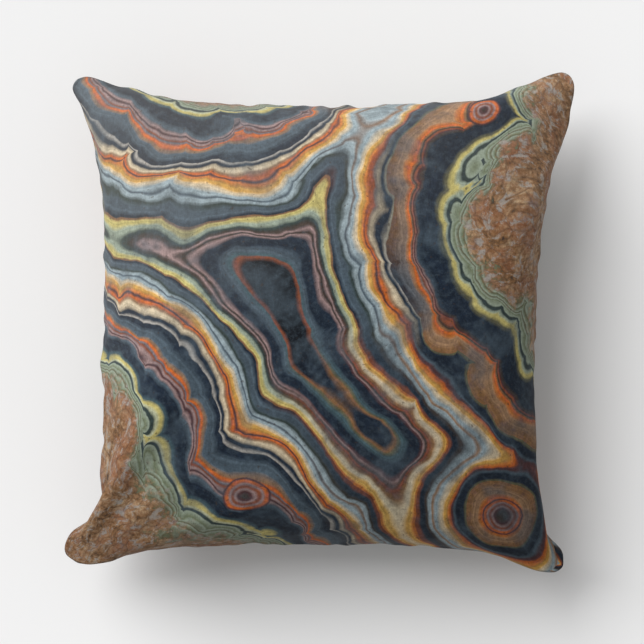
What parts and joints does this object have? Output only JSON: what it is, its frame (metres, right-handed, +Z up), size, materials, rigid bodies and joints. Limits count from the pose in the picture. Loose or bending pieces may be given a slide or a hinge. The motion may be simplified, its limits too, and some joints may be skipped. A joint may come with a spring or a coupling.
{
  "type": "square throw pillow",
  "caption": "Square knife-edge throw pillow lying on its back, with pointed ears, a banded-stone print and a hidden zip.",
  "frame": {"origin": "on the surface the pillow lies on, under the middle of its outline", "axes": "+Z up through the printed front, +Y towards the top of the front, +X to the right seen from above; the zip is in the edge on the -Y side"},
  "size_m": [0.404, 0.3962, 0.1374],
  "materials": {
    "printed_cloth": "matte brushed polyester with a banded-stone print in ochre, navy, rust, cream and pale blue",
    "insert_cloth": "plain white non-woven inner cover",
    "zip_tape": "dark navy woven polyester tape",
    "zip_coil": "dark navy nylon coil",
    "zip_metal": "dark gunmetal, lightly worn"
  },
  "bodies": {
    "cover": {"front_panel": "printed_cloth", "back_panel": "printed_cloth", "insert": "insert_cloth", "zip_tape_upper": "zip_tape", "zip_tape_lower": "zip_tape", "zip_coil": "zip_coil", "zip_stop_closed": "zip_metal", "zip_stop_open": "zip_metal"},
    "slider": {"zip_slider": "zip_metal"},
    "pull": {"zip_pull": "zip_metal"}
  },
  "joints": [
    {"name": "zip_slide", "type": "slide", "parent": "cover", "child": "slider", "axis": [-1, 0, 0], "range_m": [0, 0.2]},
    {"name": "pull_flip", "type": "hinge", "parent": "slider", "child": "pull", "pos_m": [0.106, -0.17627, 0.0604], "axis": [0, 0, 1], "range_deg": [0, 150]}
  ]
}
